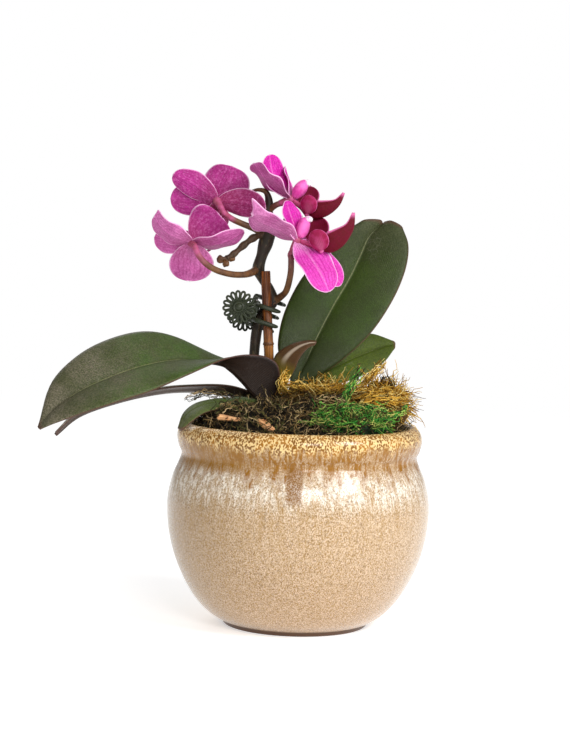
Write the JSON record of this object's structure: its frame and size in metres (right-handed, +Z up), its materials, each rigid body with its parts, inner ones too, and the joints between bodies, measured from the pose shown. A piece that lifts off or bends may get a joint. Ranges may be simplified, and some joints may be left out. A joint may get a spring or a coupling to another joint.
{
  "type": "potted moth orchid",
  "caption": "Small potted moth orchid: magenta flowers on one staked, clipped spike over broad dark leaves, in a round speckled glazed bowl topped with moss.",
  "frame": {"origin": "centre of the pot's flat foot, on the surface it stands on", "axes": "+Z up; the picture looks along +Y, with +X to its right"},
  "size_m": [0.1769, 0.1204, 0.2146],
  "materials": {
    "glaze": "glossy cream glaze with golden-brown speckle, brown unglazed foot",
    "bark": "matt dark brown bark mix",
    "moss_brown": "dried brown and dark green moss strands",
    "moss_gold": "dried golden-brown strand moss",
    "moss_green": "fresh bright green curled moss",
    "chip": "matt orange-brown bark",
    "root": "matt grey-green crown and roots",
    "leaf": "thick waxy dark green leaf with a grey bloom, purplish below",
    "young_leaf": "waxy brown-purple young leaf, yellow-green at its foot",
    "stem": "satin dark brown-green stem",
    "bamboo": "satin orange-brown bamboo",
    "petal": "soft magenta petals, paler behind, with thin pale edges",
    "lip": "satin dark crimson lip with a paler throat",
    "plastic": "dark green moulded plastic",
    "steel": "plain steel wire and pin"
  },
  "bodies": {
    "potted_plant": {"pot": "glaze", "bark_mix": "bark", "moss_bed": "moss_brown", "moss_gold": "moss_gold", "moss_green": "moss_green", "bark_chip_left": "chip", "bark_chip_front": "chip", "bark_chip_back": "chip", "crown_and_roots": "root", "stake": "bamboo", "leaf_right_tall": "leaf", "leaf_right_low": "leaf", "leaf_left_broad": "leaf", "leaf_left_low": "leaf", "leaf_small": "leaf", "leaf_young": "young_leaf", "flower_spike": "stem", "bloom_1": "petal", "bloom_2": "petal", "bloom_3": "petal", "bloom_4": "petal", "lip_1": "lip", "lip_2": "lip", "lip_3": "lip", "lip_4": "lip", "clip_back": "plastic", "clip_pin": "steel", "clip_spring": "steel"},
    "clip_jaw": {"clip_front": "plastic"}
  },
  "joints": [
    {"name": "clip_hinge", "type": "hinge", "parent": "potted_plant", "child": "clip_jaw", "pos_m": [-0.0227, 0.005, 0.1432], "axis": [-0.2924, 0, -0.9563], "range_deg": [0, 25], "stiffness_Nm_per_rad": 0.005, "springref_deg": -17.19}
  ]
}
